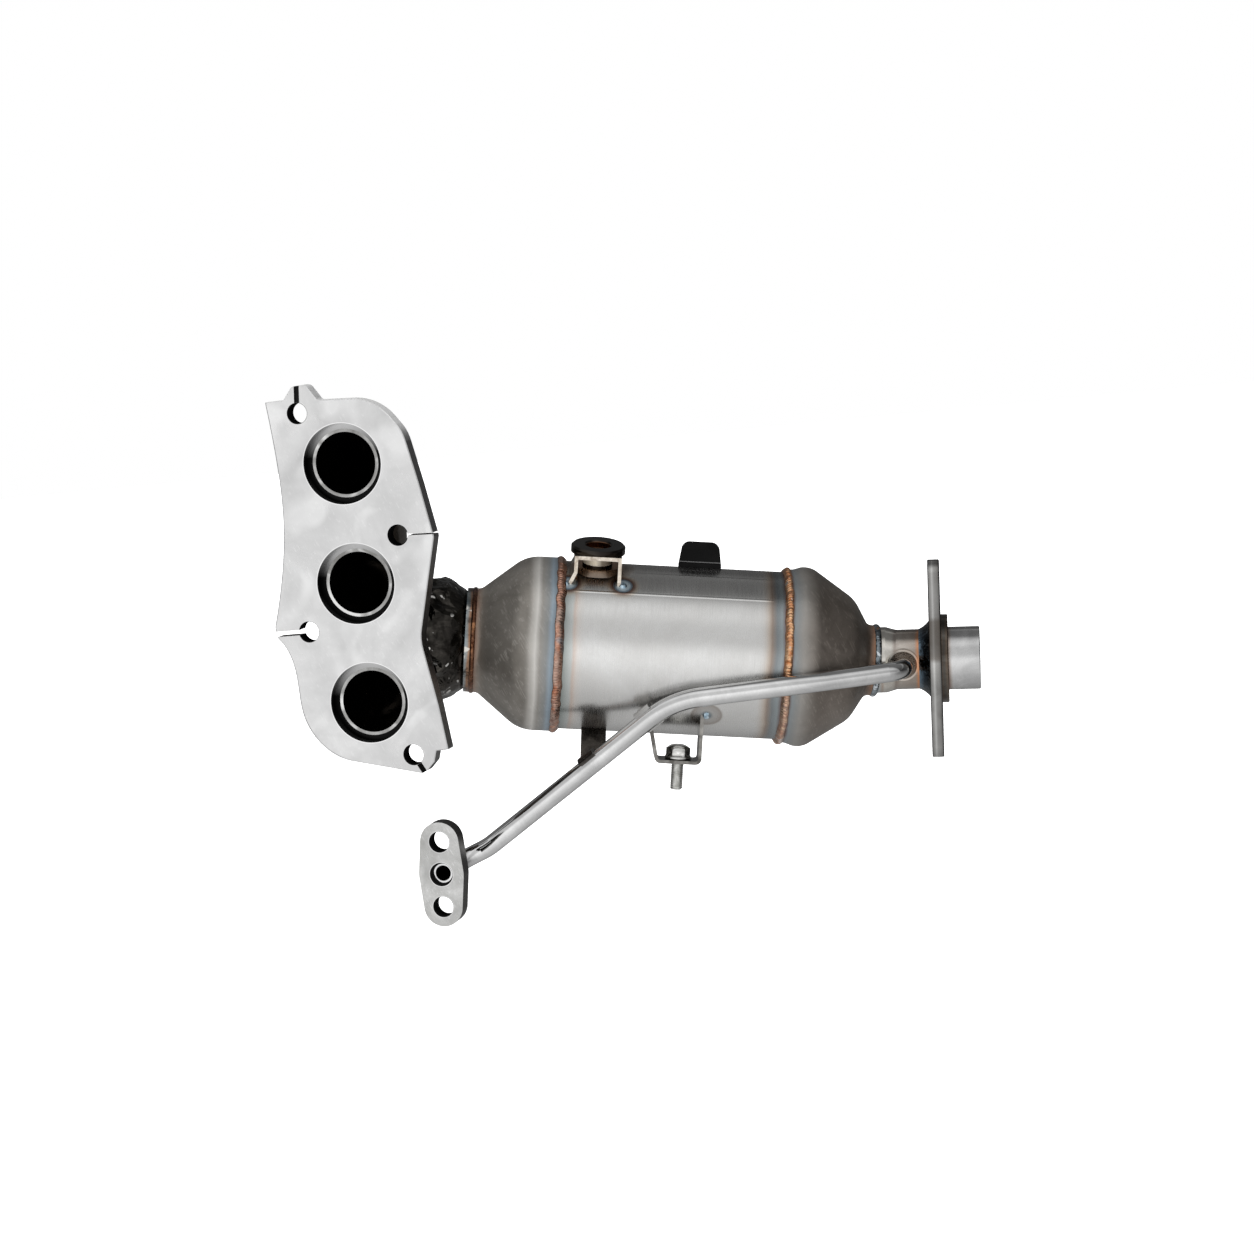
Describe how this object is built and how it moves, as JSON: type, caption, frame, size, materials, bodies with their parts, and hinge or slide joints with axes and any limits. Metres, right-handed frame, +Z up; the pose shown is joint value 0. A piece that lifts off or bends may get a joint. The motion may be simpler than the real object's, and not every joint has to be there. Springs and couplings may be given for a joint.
{
  "type": "catalytic converter",
  "caption": "Close-coupled catalytic converter with a manifold flange, three bent runners, a welded round can, a sensor boss, a gas return tube and an oval outlet flange.",
  "frame": {"origin": "centre of the middle exhaust port on the sealing face of the manifold flange", "axes": "-Y out of the sealing face towards the cylinder head, +Z up through the three ports, +X towards the outlet"},
  "size_m": [0.4408, 0.1842, 0.3591],
  "materials": {
    "flange_steel": "satin",
    "can_steel": "brushed",
    "scaled_steel": "heat stained",
    "dark_steel": "dark scale",
    "weld_metal": "heat tinted",
    "tube_steel": "satin",
    "bolt_steel": "zinc plated",
    "black_steel": "black",
    "brick_ceramic": "matte",
    "mat_fibre": "matte"
  },
  "bodies": {
    "root": {"bracket_bolt": "bolt_steel", "can_inlet_bead": "weld_metal", "can_outlet_bead": "weld_metal", "can_shell": "can_steel", "collector": "dark_steel", "flange_bead": "weld_metal", "foot_nuggets": "weld_metal", "front_brick": "brick_ceramic", "front_mat": "mat_fibre", "gas_tube": "tube_steel", "gasket_ring": "can_steel", "inlet_cone": "scaled_steel", "inlet_sleeve": "can_steel", "manifold_flange": "flange_steel", "neck_seam": "weld_metal", "outlet_cone": "scaled_steel", "outlet_flange": "flange_steel", "outlet_pipe": "can_steel", "outlet_spigot": "can_steel", "pipe_bead": "weld_metal", "rear_brick": "brick_ceramic", "rear_mat": "mat_fibre", "runner_bottom": "dark_steel", "runner_middle": "dark_steel", "runner_top": "dark_steel", "runner_welds": "dark_steel", "sensor_boss": "can_steel", "sensor_strap": "can_steel", "shield_tab": "black_steel", "tube_flange": "flange_steel", "tube_ring": "can_steel", "tube_saddle": "tube_steel", "tube_stay": "tube_steel", "u_bracket": "tube_steel"}
  },
  "joints": []
}
